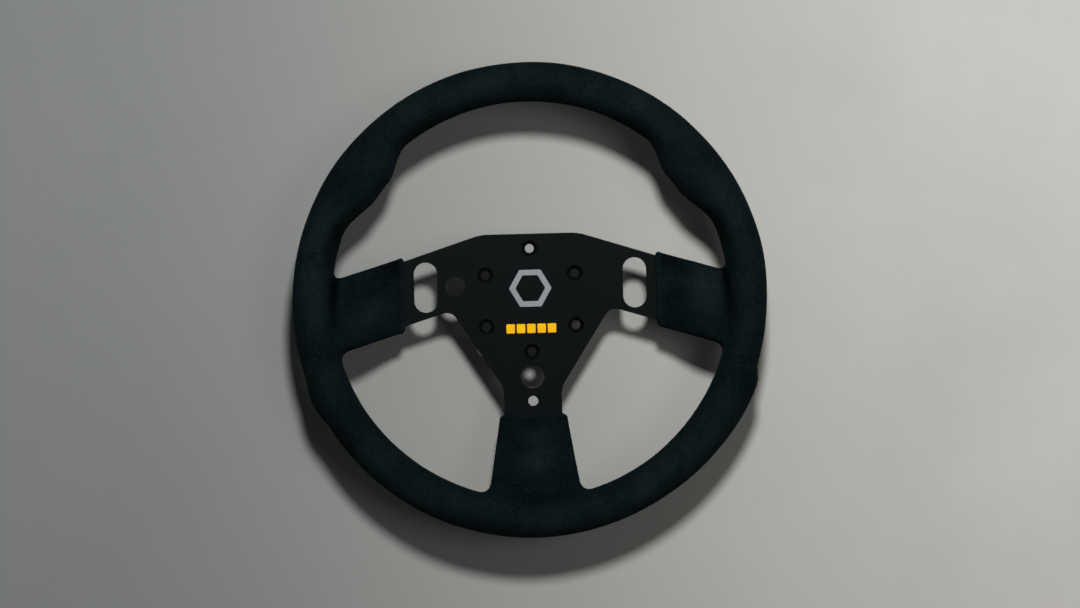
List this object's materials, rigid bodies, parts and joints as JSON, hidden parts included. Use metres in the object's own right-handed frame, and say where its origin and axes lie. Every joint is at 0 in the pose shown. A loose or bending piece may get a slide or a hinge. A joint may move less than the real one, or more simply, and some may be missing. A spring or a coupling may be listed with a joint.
{
  "type": "quick release steering wheel",
  "caption": "Round three-spoke racing steering wheel with a suede rim, flat anodised spoke plate and a sprung ball-lock quick release hub behind it.",
  "frame": {"origin": "on the steering axis, at the open end of the hub, which is the lowest face when the wheel lies face up", "axes": "+Z along the steering axis towards the driver, +Y towards twelve o'clock, +X to the driver's right"},
  "size_m": [0.32, 0.32, 0.068],
  "materials": {
    "suede": "matte napped suede leather with a soft sheen",
    "plate": "black anodised, finely brushed satin",
    "hoop": "bare drawn steel",
    "foam": "moulded black polyurethane foam",
    "rivet": "bare set rivet",
    "hub": "turned, black anodised",
    "collar": "turned and fluted, clear anodised",
    "hardware": "zinc plated steel",
    "spring": "oiled spring steel",
    "ball": "polished bearing steel",
    "emblem": null,
    "stripe": "yellow enamel bar"
  },
  "bodies": {
    "wheel": {"spoke_plate": "plate", "rim_hoop": "hoop", "rim_foam": "foam", "rim_cover_upper_left": "suede", "rim_cover_upper_right": "suede", "rim_cover_lower_left": "suede", "rim_cover_lower_right": "suede", "spoke_cover_right": "suede", "spoke_cover_left": "suede", "spoke_cover_bottom": "suede", "hub_body": "hub", "collar_spring": "spring", "retaining_ring": "hardware", "emblem": "emblem", "stripe": "stripe", "rivet_right_1": "rivet", "rivet_right_2": "rivet", "rivet_left_1": "rivet", "rivet_left_2": "rivet", "rivet_bottom_1": "rivet", "rivet_bottom_2": "rivet", "hub_stud_1": "hardware", "hub_nut_1": "hardware", "hub_stud_2": "hardware", "hub_nut_2": "hardware", "hub_stud_3": "hardware", "hub_nut_3": "hardware", "hub_stud_4": "hardware", "hub_nut_4": "hardware", "hub_stud_5": "hardware", "hub_nut_5": "hardware", "hub_stud_6": "hardware", "hub_nut_6": "hardware"},
    "collar": {"release_collar": "collar"},
    "ball_1": {"lock_ball_1": "ball"},
    "ball_2": {"lock_ball_2": "ball"},
    "ball_3": {"lock_ball_3": "ball"},
    "ball_4": {"lock_ball_4": "ball"},
    "ball_5": {"lock_ball_5": "ball"},
    "ball_6": {"lock_ball_6": "ball"}
  },
  "joints": [
    {"name": "collar_slide", "type": "slide", "parent": "wheel", "child": "collar", "axis": [0, 0, 1], "range_m": [0, 0.005], "stiffness_N_per_m": 3000, "springref_m": -0.006, "deforming": ["collar_spring"]},
    {"name": "ball_1_slide", "type": "slide", "parent": "wheel", "child": "ball_1", "axis": [1, 0, 0], "range_m": [0, 0.00135]},
    {"name": "ball_2_slide", "type": "slide", "parent": "wheel", "child": "ball_2", "axis": [0.5, 0.866, 0], "range_m": [0, 0.00135]},
    {"name": "ball_3_slide", "type": "slide", "parent": "wheel", "child": "ball_3", "axis": [-0.5, 0.866, 0], "range_m": [0, 0.00135]},
    {"name": "ball_4_slide", "type": "slide", "parent": "wheel", "child": "ball_4", "axis": [-1, 0, 0], "range_m": [0, 0.00135]},
    {"name": "ball_5_slide", "type": "slide", "parent": "wheel", "child": "ball_5", "axis": [-0.5, -0.866, 0], "range_m": [0, 0.00135]},
    {"name": "ball_6_slide", "type": "slide", "parent": "wheel", "child": "ball_6", "axis": [0.5, -0.866, 0], "range_m": [0, 0.00135]}
  ],
  "couplings": [
    {"joint": "ball_1_slide", "follows": "collar_slide", "ratio": 0.27},
    {"joint": "ball_2_slide", "follows": "collar_slide", "ratio": 0.27},
    {"joint": "ball_3_slide", "follows": "collar_slide", "ratio": 0.27},
    {"joint": "ball_4_slide", "follows": "collar_slide", "ratio": 0.27},
    {"joint": "ball_5_slide", "follows": "collar_slide", "ratio": 0.27},
    {"joint": "ball_6_slide", "follows": "collar_slide", "ratio": 0.27}
  ]
}
